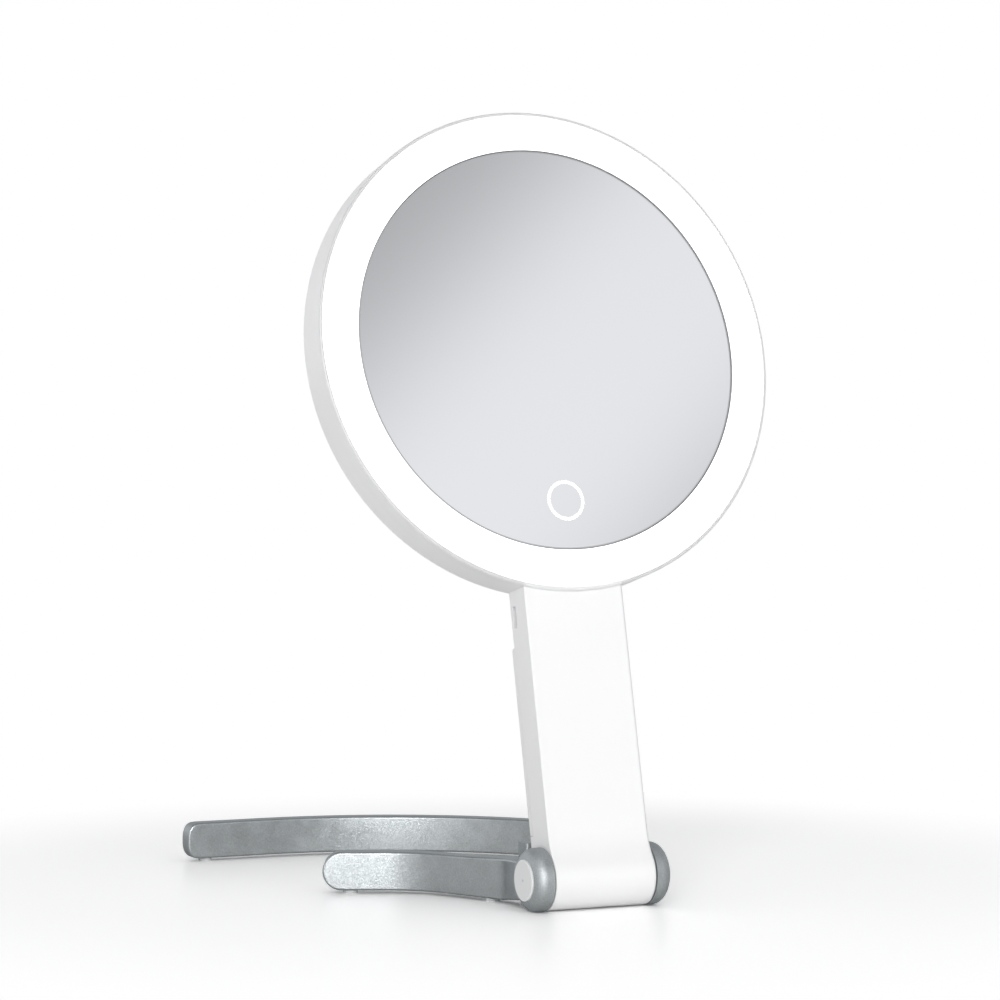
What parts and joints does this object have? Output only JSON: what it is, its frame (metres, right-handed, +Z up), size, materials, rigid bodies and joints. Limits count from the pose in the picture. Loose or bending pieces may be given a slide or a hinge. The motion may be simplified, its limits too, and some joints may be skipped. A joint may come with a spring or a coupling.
{
  "type": "lighted hand mirror",
  "caption": "Round mirror with a glowing rim and a touch switch on a flat handle, hinged at its foot to a low stand of two curved arms, with a charging port in the handle's side.",
  "frame": {"origin": "on the table, under the middle of the whole object's box", "axes": "+Z up, -Y the way the mirror faces, +X along the hinge to the right as seen from in front of the mirror"},
  "size_m": [0.17, 0.1866, 0.2712],
  "materials": {
    "white_housing": "satin",
    "opal_diffuser": "satin",
    "mirror_glass": "polished",
    "touch_mark": "matte",
    "foam_tape": "matte",
    "inner_plastic": "matte",
    "screw_steel": "satin",
    "port_shell": "satin",
    "port_tongue": "satin",
    "white_board": "satin",
    "lamp": "gloss",
    "green_board": "satin",
    "chip": "satin",
    "battery_wrap": "satin",
    "wire_red": "satin",
    "wire_white": "satin",
    "wire_black": "satin",
    "bush_plastic": "matte",
    "friction_disc": "matte",
    "pale_silver": "satin",
    "silver_paint": "satin",
    "pad_rubber": "matte"
  },
  "bodies": {
    "stand": {"left_arm": "silver_paint", "right_arm": "silver_paint", "stand_bridge": "silver_paint", "bridge_screws": "screw_steel", "foot_pads": "pad_rubber", "hinge_shaft": "screw_steel", "hinge_screws": "screw_steel", "spring_washers": "screw_steel", "friction_washers": "friction_disc", "cap_plugs": "pale_silver"},
    "mirror": {"main_housing": "white_housing", "head_rear_cover": "white_housing", "handle_rear_cover": "white_housing", "diffuser_ring": "opal_diffuser", "mirror_glass": "mirror_glass", "touch_ring": "touch_mark", "glass_tape": "foam_tape", "mirror_carrier": "inner_plastic", "carrier_screws": "screw_steel", "light_board": "white_board", "leds": "lamp", "reflector_band": "inner_plastic", "touch_sensor": "green_board", "rear_cover_screws": "screw_steel", "battery": "battery_wrap", "battery_tape": "foam_tape", "driver_board": "green_board", "board_chips": "chip", "board_screws": "screw_steel", "charging_port": "port_shell", "port_tongue": "port_tongue", "led_wires": "wire_red", "touch_wire": "wire_white", "battery_wires": "wire_black", "hinge_bushes": "bush_plastic"}
  },
  "joints": [
    {"name": "mirror_hinge", "type": "hinge", "parent": "stand", "child": "mirror", "pos_m": [0, -0.08269, 0.0106], "axis": [1, 0, 0], "range_deg": [-22, 103]}
  ]
}
